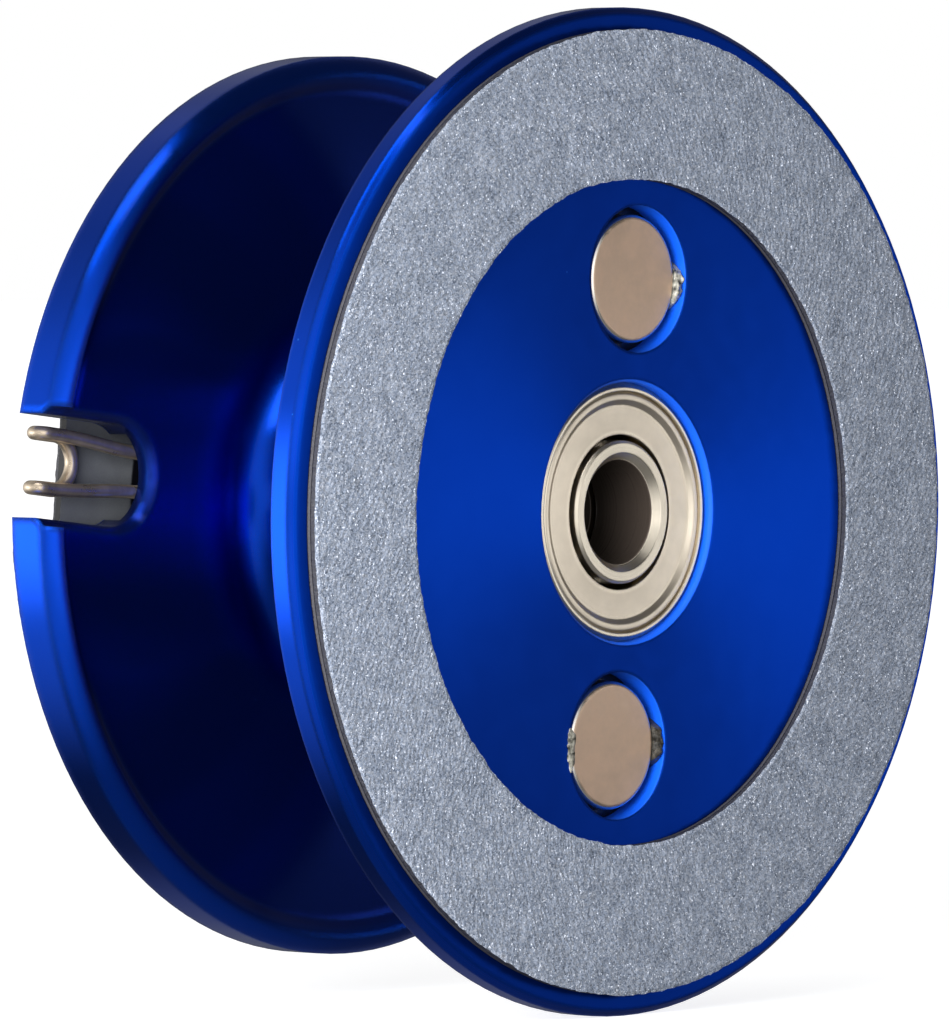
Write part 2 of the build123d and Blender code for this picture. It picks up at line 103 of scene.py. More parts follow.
# resin round and beside the magnets
GLUE_DEPTH = 0.3 * MM               # where it isn't heaped up
GLUE_CROWN = 0.06                   # how much lower a heap is at the walls
GLUE_STEPS_AROUND = 240
GLUE_STEPS_ACROSS = 10
GLUE_LUMP_SIZES = (0.4 * MM, 0.15 * MM)
SMEAR_LUMP_SIZE, SMEAR_LUMPS = 0.6 * MM, 0.5
SMEAR_CRUMB_SIZE, SMEAR_CRUMBS = 0.2 * MM, 0.12

# colours of the anodised metal
DYE_DEEP = (0.0008, 0.066, 0.56)
DYE_PALE = (0.0012, 0.080, 0.64)
WEB_PAINTED_SHADE = (0.012, 0.0, 0.04)      # painted shade: the polished webs between the flanges are darkened towards this
WORN_BLUE = (0.03, 0.20, 0.85)
BORED_BLUE = (0.006, 0.10, 0.60)

# colours of the bare metals
RACE_STEEL = (0.86, 0.79, 0.67)
SHIELD_STEEL = (0.90, 0.81, 0.68)
BORE_BROWN = (0.085, 0.068, 0.057)
BALL_CHROME = (0.85, 0.85, 0.86)
CAGE_BRASS = (0.72, 0.52, 0.22)
MAGNET_NICKEL = (0.88, 0.67, 0.52)
KEEPER_STEEL = (0.72, 0.61, 0.48)
SCREW_STEEL = (0.42, 0.42, 0.43)
PAINTED_EDGE_HIGHLIGHT = (0.95, 0.92, 0.86)    # painted highlight on a magnet's round edge
PLATE_DARK = (0.085, 0.09, 0.10)
PLATE_PALE = (0.19, 0.20, 0.21)

# colours of film, foam and resin
GRIT_SHADES = [
    (0.2, (0.053, 0.066, 0.092)),
    (0.5, (0.195, 0.225, 0.285)),
    (0.8, (0.40, 0.437, 0.515)),
    (1.0, (0.64, 0.67, 0.75)),
]
# painted glints: pale specks on single grains
GRIT_PAINTED_GLINT = (0.62, 0.65, 0.72)
FILM_EDGE = (0.045, 0.045, 0.05)
FOAM_DARK = (0.035, 0.034, 0.036)
FOAM_PALE = (0.095, 0.092, 0.095)
NEAR_BLACK = (0.006, 0.006, 0.008)


# ------------------------------------------------------------------ node helpers
class Graph:
    """Small wrapper that adds nodes to a shader tree and links them."""

    def __init__(self, tree, output_kind):
        self.tree = tree
        self.tree.nodes.clear()
        self.output = self.tree.nodes.new(output_kind)

    def add(self, kind, **settings):
        node = self.tree.nodes.new("ShaderNode" + kind)
        for key, value in settings.items():
            setattr(node, key, value)
        return node

    def link(self, source, target):
        self.tree.links.new(source, target)

    def feed(self, socket, value):
        """Sets a socket to a value, or links it to another node's output."""
        if isinstance(value, bpy.types.NodeSocket):
            self.link(value, socket)
        elif isinstance(value, tuple) and len(value) == 3 and socket.type == "RGBA":
            socket.default_value = (*value, 1)
        else:
            socket.default_value = value

    def math(self, operation, first, second=0.0):
        node = self.add("Math", operation=operation)
        self.feed(node.inputs[0], first)
        self.feed(node.inputs[1], second)
        return node.outputs[0]

    def vector(self, operation, first, second=(0, 0, 0)):
        """Vector arithmetic; the output is a vector, or a number for a dot product or a length."""
        node = self.add("VectorMath", operation=operation)
        self.feed(node.inputs[0], first)
        self.feed(node.inputs[1], second)
        return node.outputs["Value" if operation in ("DOT_PRODUCT", "LENGTH") else "Vector"]

    def scaled(self, vector, factor):
        node = self.add("VectorMath", operation="SCALE")
        self.feed(node.inputs[0], vector)
        self.feed(node.inputs["Scale"], factor)
        return node.outputs["Vector"]

    def position(self):
        return self.add("TexCoord").outputs["Object"]

    def smooth_step(self, value, low, high):
        """0 below low, 1 above high, with a smooth rise between."""
        node = self.add("MapRange", interpolation_type="SMOOTHSTEP")
        self.feed(node.inputs["Value"], value)
        node.inputs["From Min"].default_value = low
        node.inputs["From Max"].default_value = high
        return node.outputs[0]

    def ramp(self, factor, stops):
        """Colour ramp; stops are (position, grey or colour)."""
        node = self.add("ValToRGB")
        ramp = node.color_ramp
        while len(ramp.elements) < len(stops):
            ramp.elements.new(0.5)
        for element, (place, colour) in zip(ramp.elements, stops):
            element.position = place
            if isinstance(colour, (int, float)):
                colour = grey(colour)
            element.color = (*colour, 1)
        self.feed(node.inputs[0], factor)
        return node.outputs[0]

    def mix(self, factor, first, second, blend="MIX"):
        node = self.add("Mix", data_type="RGBA", blend_type=blend)
        self.feed(node.inputs[0], factor)
        self.feed(node.inputs[6], first)
        self.feed(node.inputs[7], second)
        return node.outputs[2]

    def noise(self, vector, size, detail=3.0, roughness=0.5):
        """Grey noise whose features are about size across, in metres."""
        node = self.add("TexNoise")
        self.feed(node.inputs["Vector"], vector)
        node.inputs["Scale"].default_value = 1 / size
        node.inputs["Detail"].default_value = detail
        node.inputs["Roughness"].default_value = roughness
        return node.outputs[0]

    def rings(self, value, size, detail=2.0):
        """One-dimensional noise of a distance, in lines about size apart."""
        node = self.add("TexNoise", noise_dimensions="1D")
        self.feed(node.inputs["W"], value)
        node.inputs["Scale"].default_value = 1 / size
        node.inputs["Detail"].default_value = detail
        return node.outputs[0]

    def cells(self, vector, size, output="Color"):
        node = self.add("TexVoronoi")
        self.feed(node.inputs["Vector"], vector)
        node.inputs["Scale"].default_value = 1 / size
        return node.outputs[output]

    def channels(self, colour):
        node = self.add("SeparateColor")
        self.feed(node.inputs[0], colour)
        return node.outputs

    def radius(self):
        """Distance from the axle."""
        return self.vector("LENGTH", self.vector("MULTIPLY", self.position(), (1, 0, 1)))

    def height(self):
        """Place along the axle."""
        node = self.add("SeparateXYZ")
        self.link(self.position(), node.inputs[0])
        return node.outputs["Y"]

    def side_wall(self, flat=0.6, steep=0.4):
        """1 on walls that run along the axle, 0 on flat faces.

        flat and steep are how much of the normal may lie along the axle.
        """
        node = self.add("SeparateXYZ")
        self.link(self.add("NewGeometry").outputs["True Normal"], node.inputs[0])
        return self.smooth_step(self.math("ABSOLUTE", node.outputs["Y"]), flat, steep)

    def rounded(self, radius):
        """Normal that is rounded off at the edges."""
        node = self.add("Bevel", samples=6)
        node.inputs["Radius"].default_value = radius
        return node.outputs[0]

    def edge_wear(self, rounded_normal, low, high):
        """0 on open surfaces, rising to 1 on sharp edges."""
        straight = self.add("NewGeometry").outputs["Normal"]
        facing = self.vector("DOT_PRODUCT", rounded_normal, straight)
        return self.smooth_step(self.math("SUBTRACT", 1.0, facing), low, high)

    def bump(self, height, strength, distance, normal=None):
        node = self.add("Bump")
        node.inputs["Strength"].default_value = strength
        node.inputs["Distance"].default_value = distance
        self.feed(node.inputs["Height"], height)
        if normal is not None:
            self.link(normal, node.inputs["Normal"])
        return node.outputs[0]

    def across_lathe(self):
        """Tangent round the axle, for highlights that fan out across the turning marks."""
        return self.add("Tangent", direction_type="RADIAL", axis="Y").outputs[0]

    def principled(self, **inputs):
        node = self.add("BsdfPrincipled")
        for name, value in inputs.items():
            self.feed(node.inputs[name.replace("_", " ")], value)
        return node.outputs[0]

    def show(self, shader):
        self.link(shader, self.output.inputs[0])


def grey(value):
    return (value, value, value)


def new_material(name):
    material = bpy.data.materials.new(name)
    material.use_nodes = True
    return material, Graph(material.node_tree, "ShaderNodeOutputMaterial")


# ------------------------------------------------------------------ materials
QUARTER_TURN = 0.25         # turns the highlights from along the lathe marks to across them
FACE_TO_RIM = 1.37          # sets the marks of a rim out of step with those of a face


def lathe_marks(graph, pitch):
    """Height of fine turning marks, concentric on faces and round the rims."""
    path = graph.math("ADD", graph.radius(), graph.math("MULTIPLY", graph.height(), FACE_TO_RIM))
    fine = graph.rings(path, pitch)
    coarse = graph.rings(path, 8 * pitch)
    return graph.math("ADD", graph.math("MULTIPLY", fine, 0.6), graph.math("MULTIPLY", coarse, 0.4))


def bored_walls(graph):
    """1 on the walls of the wide flange's magnet pockets and bearing seat, 0 elsewhere."""
    reach = graph.smooth_step(graph.radius(), BEARING_SEAT_REACH + 0.1 * MM, BEARING_SEAT_REACH)
    for magnet in MAGNETS:
        low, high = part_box(magnet)
        centre = (low + high) / 2
        offset = graph.vector("SUBTRACT", graph.position(), tuple(centre))
        distance = graph.vector("LENGTH", graph.vector("MULTIPLY", offset, (1, 0, 1)))
        near = graph.smooth_step(distance, POCKET_REACH + 0.1 * MM, POCKET_REACH)
        reach = graph.math("MAXIMUM", reach, near)
    depth = graph.math("ADD", graph.height(), OUTER_FACE_Y)
    below_face = graph.smooth_step(depth, 0.01 * MM, 0.05 * MM)
    near_side = graph.smooth_step(depth, BORED_DEPTH + 0.1 * MM, BORED_DEPTH)
    return graph.math("MULTIPLY", reach, graph.math("MULTIPLY", below_face, near_side))


def anodised_blue(name, edge_radius):
    """Dyed aluminium, polished between the flanges and fine-turned on the outer faces.

    It is paler at rubbed edges; its colour on the webs between the flanges is painted shade.
    """
    material, graph = new_material(name)
    edges = graph.rounded(edge_radius)
    marks = lathe_marks(graph, 0.05 * MM)
    clouds = graph.noise(graph.position(), 6 * MM, detail=4.0)
    dye = graph.mix(clouds, DYE_DEEP, DYE_PALE)
    wear = graph.math("MULTIPLY", graph.edge_wear(edges, 0.02, 0.2), 0.35)
    specks = graph.smooth_step(graph.cells(graph.position(), 3.5 * MM, "Distance"), 0.022, 0.012)
    bored = bored_walls(graph)
    from_middle = graph.math("ABSOLUTE", graph.height())
    outer_face = graph.smooth_step(from_middle, OUTER_FACE_Y - 0.2 * MM, OUTER_FACE_Y)
    inside = graph.smooth_step(graph.radius(), *WEB_EDGE)
    inside = graph.math("MULTIPLY", inside, graph.math("SUBTRACT", 1.0, outer_face))
    beyond_drum = graph.smooth_step(graph.radius(), *DRUM_BLEND)
    web = graph.math("MULTIPLY", inside, beyond_drum)
    # painted shade: the webs' colour is darkened halfway towards the web shade colour
    dye = graph.mix(graph.math("MULTIPLY", web, 0.5), dye, WEB_PAINTED_SHADE)
    dull = graph.math("MAXIMUM", bored, graph.math("MULTIPLY", web, 0.06))
    colour = graph.mix(graph.math("MAXIMUM", wear, specks), dye, WORN_BLUE)
    colour = graph.mix(bored, colour, BORED_BLUE)
    patches = graph.noise(graph.position(), 1.5 * MM)
    rim = graph.ramp(patches, [(0.3, 0.19), (0.7, 0.23)])
    polished = graph.mix(inside, rim, graph.ramp(beyond_drum, [(0.0, 0.26), (1.0, 0.13)]))
    turned = graph.ramp(patches, [(0.3, 0.40), (0.7, 0.44)])
    open_roughness = graph.mix(outer_face, polished, turned)
    open_sheen = graph.mix(outer_face, grey(0.5), grey(0.8))
    graph.show(
        graph.principled(
            Base_Color=colour,
            Metallic=graph.math("SUBTRACT", 1.0, dull),
            Roughness=graph.mix(bored, open_roughness, grey(0.5)),
            Anisotropic=graph.mix(bored, open_sheen, grey(0.0)),
            Anisotropic_Rotation=QUARTER_TURN,
            Tangent=graph.across_lathe(),
            Normal=graph.bump(marks, 0.08, 0.005 * MM, edges),
            Coat_Weight=graph.math("MULTIPLY", graph.math("SUBTRACT", 1.0, outer_face), 0.12),
            Coat_Roughness=0.1,
            Coat_IOR=1.6,
        )
    )
    return material


def turned_steel(name, tint, roughness):
    """Ground steel with faint rings and stains, brown and duller inside the bore."""
    material, graph = new_material(name)
    edges = graph.rounded(0.1 * MM)
    marks = lathe_marks(graph, 0.03 * MM)
    stains = graph.noise(graph.position(), 1.2 * MM, detail=5.0)
    dark = tuple(0.92 * channel for channel in tint)
    colour = graph.mix(graph.ramp(stains, [(0.35, 0.0), (0.65, 1.0)]), dark, tint)
    open_metal = graph.smooth_step(graph.radius(), BORE_R + 0.03 * MM, BORE_R + 0.08 * MM)
    colour = graph.mix(open_metal, BORE_BROWN, colour)
    rough = graph.ramp(marks, [(0.3, roughness * 0.8), (0.7, roughness * 1.3)])
    graph.show(
        graph.principled(
            Base_Color=colour,
            Metallic=graph.math("MAXIMUM", open_metal, 0.5),
            Roughness=rough,
            Anisotropic=0.4,
            Anisotropic_Rotation=QUARTER_TURN,
            Tangent=graph.across_lathe(),
            Normal=graph.bump(marks, 0.12, 0.006 * MM, edges),
        )
    )
    return material


def plain_metal(
    name, tint, roughness, stain_size=0.8 * MM, stain=0.22, painted_edge_highlight=0.0, metallic=1.0
):
    """Matt or polished metal with stains and no turning marks.

    stain is how much darker a stain is, and painted_edge_highlight how strongly its round edges are
    painted pale as a painted highlight.
    """
    material, graph = new_material(name)
    stains = graph.noise(graph.position(), stain_size, detail=6.0)
    dark = tuple((1 - stain) * channel for channel in tint)
    edges = graph.rounded(0.1 * MM)
    edge_highlight_mask = graph.math("MULTIPLY", graph.side_wall(0.98, 0.85), painted_edge_highlight)
    colour = graph.mix(graph.ramp(stains, [(0.35, 0.0), (0.65, 1.0)]), dark, tint)
    # painted highlight: the round side walls are painted a pale nickel colour
    colour = graph.mix(edge_highlight_mask, colour, PAINTED_EDGE_HIGHLIGHT)
    rough = graph.ramp(stains, [(0.3, roughness * 0.85), (0.7, roughness * 1.2)])
    graph.show(
        graph.principled(
            Base_Color=colour,
            Metallic=metallic,
            Roughness=graph.mix(edge_highlight_mask, rough, grey(0.22)),
            Normal=graph.bump(stains, 0.06, 0.02 * MM, edges),
        )
    )
    return material


def matt_plate(name, painted_shade_middle):
    """Grey phosphated sheet: dull, with a fine even grain.

    With its second argument set, it is painted black near its inner edge and dark on its side walls:
    painted shade.
    """
    material, graph = new_material(name)
    grain = graph.noise(graph.position(), 0.08 * MM, detail=3.0)
    clouds = graph.noise(graph.position(), 1.5 * MM)
    fine_part = graph.math("MULTIPLY", grain, 0.5)
    tone = graph.math("ADD", fine_part, graph.math("MULTIPLY", clouds, 0.5))
    colour = graph.mix(tone, PLATE_DARK, PLATE_PALE)
    if painted_shade_middle:
        rim = graph.math("ADD", graph.radius(), graph.math("MULTIPLY", grain, 0.15 * MM))
        # painted shade: the plate is painted black near its inner edge, and its side walls dark
        colour = graph.mix(graph.smooth_step(rim, *PLATE_PAINTED_SHADE_R), (0.004, 0.004, 0.006), colour)
        colour = graph.mix(graph.side_wall(), colour, grey(0.035))
    graph.show(
        graph.principled(
            Base_Color=colour,
            Metallic=0.25,
            Roughness=0.62,
            Normal=graph.bump(grain, 0.2, 0.01 * MM, graph.rounded(0.05 * MM)),
        )
    )
    return material


def grit_film():
    """Abrasive film: grains that tilt at random, so that single ones catch the light; pale specks are
    painted glints.
    """
    material, graph = new_material("grit_film")
    place = graph.position()
    grain = graph.cells(place, 0.10 * MM)
    fine = graph.cells(place, 0.07 * MM)
    shade = graph.channels(grain)[0]
    fine_shade = graph.channels(fine)[1]
    clouds = graph.noise(place, 1.6 * MM, detail=4.0)
    coarse_part = graph.math("MULTIPLY", shade, 0.55)
    tone = graph.math("ADD", coarse_part, graph.math("MULTIPLY", fine_shade, 0.3))
    tone = graph.math("ADD", tone, graph.math("MULTIPLY", clouds, 0.3))
    colour = graph.ramp(tone, GRIT_SHADES)
    tilt = graph.scaled(graph.vector("SUBTRACT", grain, grey(0.5)), 0.6)
    straight = graph.add("NewGeometry").outputs["Normal"]
    tilted = graph.vector("NORMALIZE", graph.vector("ADD", straight, tilt))
    # painted glints: a few grains are painted pale
    painted_glint = graph.smooth_step(graph.channels(fine)[2], 0.955, 0.975)
    colour = graph.mix(painted_glint, colour, GRIT_PAINTED_GLINT)
    colour = graph.mix(graph.side_wall(), colour, FILM_EDGE)
    graph.show(
        graph.principled(
            Base_Color=colour,
            Roughness=0.5,
            Normal=tilted,
            Specular_IOR_Level=0.5,
        )
    )
    return material


def foam_adhesive():
    """Cut edge of the foam tape, with a dark glue line where it meets its neighbours."""
    material, graph = new_material("foam_adhesive")
    pores = graph.noise(graph.position(), 0.12 * MM, detail=4.0)
    tape_low, tape_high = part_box("near_grip_backing")
    face = abs(tape_high.y)
    tape = tape_high.y - tape_low.y
    depth = graph.math("SUBTRACT", graph.math("ABSOLUTE", graph.height()), face)
    wobble = graph.math("MULTIPLY", graph.math("SUBTRACT", pores, 0.5), 0.05 * MM)
    depth = graph.math("ADD", depth, wobble)
    middle = graph.math("ABSOLUTE", graph.math("SUBTRACT", depth, tape / 2))
    line = graph.smooth_step(middle, tape / 2 - 0.09 * MM, tape / 2 - 0.03 * MM)
    foam = graph.mix(pores, FOAM_DARK, FOAM_PALE)
    colour = graph.mix(line, foam, NEAR_BLACK)
    graph.show(
        graph.principled(
            Base_Color=colour,
            Roughness=0.65,
            Normal=graph.bump(pores, 0.4, 0.03 * MM),
        )
    )
    return material


def resin(name, deep, pale):
    """Set glue: glossy and half clear, with swirls between two tints, and painted shade: black deep
    in the gap.
    """
    material, graph = new_material(name)
    swirl = graph.noise(graph.position(), 0.35 * MM, detail=4.0)
    colour = graph.mix(graph.ramp(swirl, [(0.35, 0.0), (0.65, 1.0)]), deep, pale)
    depth = graph.math("ADD", graph.height(), OUTER_FACE_Y)
    # painted shade: the resin turns black more than about a millimetre below the face
    colour = graph.mix(graph.smooth_step(depth, 0.8 * MM, 1.2 * MM), colour, NEAR_BLACK)
    graph.show(
        graph.principled(
            Base_Color=colour,
            Roughness=0.12,
            Transmission_Weight=0.35,
            IOR=1.5,
            Normal=graph.bump(swirl, 0.5, 0.06 * MM),
        )
    )
    return material


def set_material(material, *nodes):
    """Gives CAD nodes a finished material."""
    for name in nodes:
        mesh = NODES[name].data
        mesh.materials.clear()
        mesh.materials.append(material)


GRIT = grit_film()
FOAM = foam_adhesive()
CLOUDY_RESIN = resin("cloudy_resin", (0.05, 0.05, 0.04), (0.62, 0.60, 0.52))
DARK_RESIN = resin("dark_resin", (0.02, 0.018, 0.014), (0.09, 0.08, 0.065))
set_material(anodised_blue("anodised_blue_wide", RIM_ROUNDING), "near_flange")
set_material(anodised_blue("anodised_blue_slotted", SLOTTED_ROUNDING), "spool_core")
set_material(turned_steel("race_steel", RACE_STEEL, 0.29), *RACES)
set_material(turned_steel("shield_steel", SHIELD_STEEL, 0.32), *SHIELDS)
set_material(turned_steel("spacer_steel", BORE_BROWN, 0.4), "bearing_spacer")
set_material(plain_metal("ball_steel", BALL_CHROME, 0.06), "near_balls", "far_balls")
set_material(plain_metal("cage_brass", CAGE_BRASS, 0.3), "near_cage", "far_cage")
set_material(FOAM, "near_grip_backing", "far_grip_foam")
set_material(matt_plate("plate_steel", painted_shade_middle=True), "far_backing_plate")
set_material(matt_plate("clamp_steel", painted_shade_middle=False), "keeper_clamp")
magnet_metal = plain_metal(
    "magnet_nickel", MAGNET_NICKEL, 0.42, stain_size=1.5 * MM, stain=0.2, painted_edge_highlight=1.0
)
set_material(magnet_metal, *MAGNETS)
set_material(plain_metal("keeper_steel", KEEPER_STEEL, 0.3, metallic=0.92), "keeper_wire")
set_material(plain_metal("screw_steel", SCREW_STEEL, 0.35), "keeper_screws")


# ------------------------------------------------------------------ pieces modelled in mesh
def finish_piece(builder, name, node, material):
    """Turns a bmesh into an object that replaces a CAD node and rides on the spool."""
    bmesh.ops.recalc_face_normals(builder, faces=builder.faces[:])
    mesh = bpy.data.meshes.new(name)
    builder.to_mesh(mesh)
    builder.free()
    mesh.materials.append(material)
    piece = bpy.data.objects.new(name, mesh)
    bpy.context.scene.collection.objects.link(piece)
    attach(piece, SPOOL)
    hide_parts(node)
    return piece


def polar(radius, angle, y):
    """Point at an angle round the axle, from +X towards +Z."""
    return Vector((radius * math.cos(angle), y, radius * math.sin(angle)))


class Notch:
    """Round-cornered notch cut into the far grip ring at the slot."""

    def __init__(self, clock, inner, width, corner):
        self.outward = Vector((-math.cos(clock), 0, math.sin(clock)))
        self.across = Vector((math.sin(clock), 0, math.cos(clock)))
        self.inner = inner
        self.half = width / 2
        self.corner = corner

    def depth(self, point):
        """How far outside the notch a point is; negative inside."""
        side = abs(point.dot(self.across)) - (self.half - self.corner)
        end = self.inner + self.corner - point.dot(self.outward)
        return Vector((max(side, 0), max(end, 0))).length + min(max(side, end), 0) - self.corner

    def push_out(self, point):
        """The nearest point on the notch's outline."""
        here = self.depth(point)
        reach = 0.01 * MM
        uphill = Vector(
            (
                self.depth(point + Vector((reach, 0, 0))) - here,
                0,
                self.depth(point + Vector((0, 0, reach))) - here,
            )
        )
        return point - uphill.normalized() * here


def fix_face_order(builder):
    """Lists the faces by their corners, because an extrusion adds its walls in any order."""
    builder.verts.index_update()
    count = len(builder.verts)

    def place_in_list(face):
        first, second, third = sorted(vert.index for vert in face.verts)[:3]
        return (first * count + second) * count + third

    builder.faces.sort(key=place_in_list)


def make_grit_ring(node, outer_r, inner_r, outward, notch=None):
    """Die-cut ring of abrasive film: real grit relief on its face and a slightly ragged edge.

    outward is the side of the ring's face along the axle, -1 or 1.
    """
    step = FILM_STEP
    low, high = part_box(node)
    base_y, face_y = (high.y, low.y) if outward < 0 else (low.y, high.y)
    rows = round((outer_r - inner_r) / step)
    columns = round(math.pi * (outer_r + inner_r) / step)
    builder = bmesh.new()
    grid = []
    for row in range(rows + 1):
        radius = inner_r + (outer_r - inner_r) * row / rows
        places = [polar(radius, math.tau * c / columns, base_y) for c in range(columns)]
        grid.append([builder.verts.new(place) for place in places])
    for lower, upper in zip(grid, grid[1:]):
        for c in range(columns):
            after = (c + 1) % columns
            builder.faces.new((lower[c], lower[after], upper[after], upper[c]))
    if notch:
        cut = [face for face in builder.faces if notch.depth(face.calc_center_median()) < 0]
        bmesh.ops.delete(builder, geom=cut, context="FACES")
        for vert in builder.verts:
            if vert.is_boundary and notch.depth(vert.co) < 2 * step:
                vert.co = notch.push_out(vert.co)
    grown = bmesh.ops.extrude_face_region(builder, geom=builder.faces[:])["geom"]
    top = [item for item in grown if isinstance(item, bmesh.types.BMVert)]
    for vert in top:
        vert.co.y = face_y
    builder.normal_update()
    for vert in top:
        place = vert.co.copy()
        grit = noise.cell(place / GRAIN_SIZE) * GRAIN_HEIGHT
        grit += noise.noise(place / SWELL_SIZE) * SWELL_HEIGHT
        vert.co.y -= outward * grit
        if any(abs(face.normal.y) < 0.5 for face in vert.link_faces):
            nibble = noise.noise(place / NIBBLE_SIZE) * NIBBLE_DEPTH
            nibble += noise.noise(place / WANDER_SIZE) * WANDER_DEPTH
            sideways = Vector((place.x, 0, place.z)).normalized()
            vert.co += sideways * nibble
            vert.co.y -= outward * FILM_EDGE_DROP
    fix_face_order(builder)
    return finish_piece(builder, node + "_film", node, GRIT)


def make_glue(name, magnet, material, lumpy, beads):
    """Resin low in the gap round a magnet, heaped up to the pocket's mouth at the beads.

    A bead is (angle in degrees from +X towards +Z, half width in degrees, height).
    lumpy is the size of its lumps as a part of its height.
    """
    low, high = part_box(magnet)
    glue_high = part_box("magnet_adhesive")[1]
    centre = (low + high) / 2
    magnet_r = (high.x - low.x) / 2
    pocket_r = glue_high.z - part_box("upper_magnet")[1].z + magnet_r
    floor_y = glue_high.y
    level_y = floor_y - GLUE_DEPTH
    large, small = GLUE_LUMP_SIZES
    builder = bmesh.new()
    loops = []
    for a in range(GLUE_STEPS_AROUND):
        angle = math.tau * a / GLUE_STEPS_AROUND
        heap = 0.0
        for bead_angle, half_width, height in beads:
            away = (math.degrees(angle) - bead_angle + 180) % 360 - 180
            heap += height * math.exp(-((away / half_width) ** 4))
        loop = [builder.verts.new(ring_point(centre, magnet_r, angle, floor_y))]
        for step in range(GLUE_STEPS_ACROSS + 1):
            part = step / GLUE_STEPS_ACROSS
            radius = magnet_r + (pocket_r - magnet_r) * part
            place = ring_point(centre, radius, angle, level_y)
            lump = noise.noise(place / large) + 0.3 * noise.noise(place / small)
            crown = 1 - GLUE_CROWN * (2 * part - 1) ** 2
            place.y = level_y - heap * (crown + lumpy * lump)
            loop.append(builder.verts.new(place))
        loop.append(builder.verts.new(ring_point(centre, pocket_r, angle, floor_y)))
        loops.append(loop)
    for a in range(GLUE_STEPS_AROUND):
        loop = loops[a]
        after = loops[(a + 1) % GLUE_STEPS_AROUND]
        for i in range(len(loop)):
            j = (i + 1) % len(loop)
            builder.faces.new((loop[i], loop[j], after[j], after[i]))
    piece = finish_piece(builder, name, "magnet_adhesive", material)
    piece.data.shade_smooth()
    return piece


def ring_point(centre, radius, angle, y):
    return Vector((centre.x + radius * math.cos(angle), y, centre.z + radius * math.sin(angle)))


def make_smear(name, centre, half_wide, half_high, thick):
    """Small lumpy crust of resin that ran over the edge of a pocket and set on the face."""
    builder = bmesh.new()
    bmesh.ops.create_icosphere(builder, subdivisions=6, radius=1.0)
    for vert in builder.verts:
        shape = vert.co.copy()
        place = Vector((shape.x * half_wide, shape.y * thick, shape.z * half_high))
        lumps = SMEAR_LUMPS * noise.noise((place + centre) / SMEAR_LUMP_SIZE)
        crumbs = SMEAR_CRUMBS * noise.noise((place + centre) / SMEAR_CRUMB_SIZE)
        vert.co = centre + place * (1 + lumps + crumbs)
    piece = finish_piece(builder, name, "magnet_adhesive", CLOUDY_RESIN)
    piece.data.shade_smooth()
    return piece


make_grit_ring("near_grip_ring", NEAR_FILM_OUTER_R, NEAR_FILM_INNER_R, -1)
far_film_outer_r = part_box("far_grip_ring")[1].z
far_notch = Notch(SLOT_CLOCK, NOTCH_INNER_R, NOTCH_WIDTH, NOTCH_CORNER_R)
make_grit_ring("far_grip_ring", far_film_outer_r, FAR_FILM_INNER_R, 1, far_notch)
make_glue("upper_magnet_glue", "upper_magnet", CLOUDY_RESIN, 0.16, [(-6, 20, 1.45 * MM)])
lower_beads = [(0, 21, 1.55 * MM), (180, 18, 1.3 * MM)]
make_glue("lower_magnet_glue", "lower_magnet", DARK_RESIN, 0.07, lower_beads)
lower_low, lower_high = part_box("lower_magnet")
lower_left = Vector((lower_low.x - 0.42 * MM, -OUTER_FACE_Y, (lower_low.z + lower_high.z) / 2))
make_smear("lower_magnet_smear", lower_left, 0.34 * MM, 1.25 * MM, 0.14 * MM)


# ------------------------------------------------------------------ studio
CAMERA_AZIMUTH = -49.08             # degrees from -Y towards +X
CAMERA_ELEVATION = 1.66
CAMERA_DISTANCE = 0.6373
CAMERA_TARGET = Vector((-0.00613, -0.00558, 0.00003))
CAMERA_FOCAL_LENGTH = 388.8         # in millimetres
PANEL_DISTANCE = 0.15               # of the overhead and the mirrored panel
KEY_DISTANCE = 0.17
MIRRORED_AZIMUTH = 49               # where the camera's view goes, mirrored in the wide face


def make_floor():
    """Large pale floor that the spool's wide flange stands on; it looks darker in the metal."""
    lowest = CAD_BOX[0].z
    mesh = bpy.data.meshes.new("floor")
    builder = bmesh.new()
    bmesh.ops.create_grid(builder, x_segments=8, y_segments=8, size=3.0)
    builder.to_mesh(mesh)
    builder.free()
    floor = bpy.data.objects.new("floor", mesh)
    floor.location = (0, 0, lowest)
    bpy.context.scene.collection.objects.link(floor)
    material, graph = new_material("floor_white")
    grain = graph.noise(graph.position(), 25 * MM)
    colour = graph.mix(grain, grey(0.36), grey(0.38))
    away = graph.smooth_step(graph.vector("LENGTH", graph.position()), 0.08, 0.5)
    pale = graph.principled(
        Base_Color=colour,
        Roughness=0.9,
        Specular_IOR_Level=0.0,
        Emission_Color=grey(1.0),
        Emission_Strength=graph.ramp(away, [(0.0, 0.84), (1.0, 1.0)]),
    )
    unseen = graph.add("BsdfTransparent").outputs[0]
    choose = graph.add("MixShader")
    graph.link(graph.add("LightPath").outputs["Is Camera Ray"], choose.inputs[0])
    graph.link(unseen, choose.inputs[1])
    graph.link(pale, choose.inputs[2])
    graph.show(choose.outputs[0])
    mesh.materials.append(material)


def direction(azimuth, elevation):
    """Unit vector; azimuth is in degrees from -Y towards +X."""
    turn = math.radians(azimuth)
    rise = math.radians(elevation)
    level = math.cos(rise)
    return Vector((math.sin(turn) * level, -math.cos(turn) * level, math.sin(rise)))


